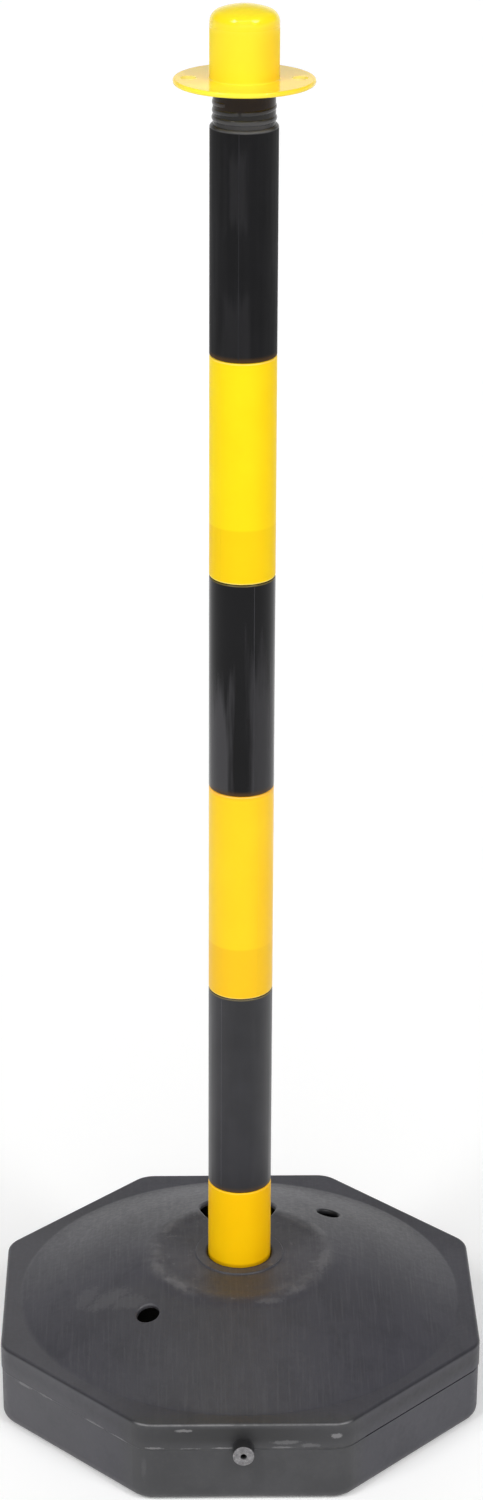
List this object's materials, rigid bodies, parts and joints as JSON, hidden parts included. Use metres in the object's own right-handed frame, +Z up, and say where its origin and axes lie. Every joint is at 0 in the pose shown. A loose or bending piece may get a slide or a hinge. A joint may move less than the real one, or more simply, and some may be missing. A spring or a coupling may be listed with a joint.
{
  "type": "chain barrier post",
  "caption": "Free-standing barrier post: a tube of screwed sections in a hollow fillable octagonal base, topped by a turning hat-shaped cap whose brim has holes for a chain.",
  "frame": {"origin": "on the post's axis at the underside of the base", "axes": "+Z up along the post, -Y towards the front face of the base, the one with the blow stub, and +X through one of the chain holes"},
  "size_m": [0.304, 0.313, 0.897],
  "materials": {
    "base_plastic": "scuffed dark grey moulded plastic",
    "yellow_plastic": "glossy yellow moulded plastic",
    "black_plastic": "satin black moulded plastic"
  },
  "bodies": {
    "post": {"base": "base_plastic", "post_section_1": "yellow_plastic", "post_section_2": "black_plastic", "post_section_3": "yellow_plastic", "post_section_4": "black_plastic", "post_section_5": "yellow_plastic", "post_section_6": "black_plastic"},
    "cap": {"cap": "yellow_plastic"}
  },
  "joints": [
    {"name": "cap_turn", "type": "hinge", "parent": "post", "child": "cap", "pos_m": [0, 0, 0.8515], "axis": [0, 0, 1], "range_deg": [-90, 90]}
  ]
}
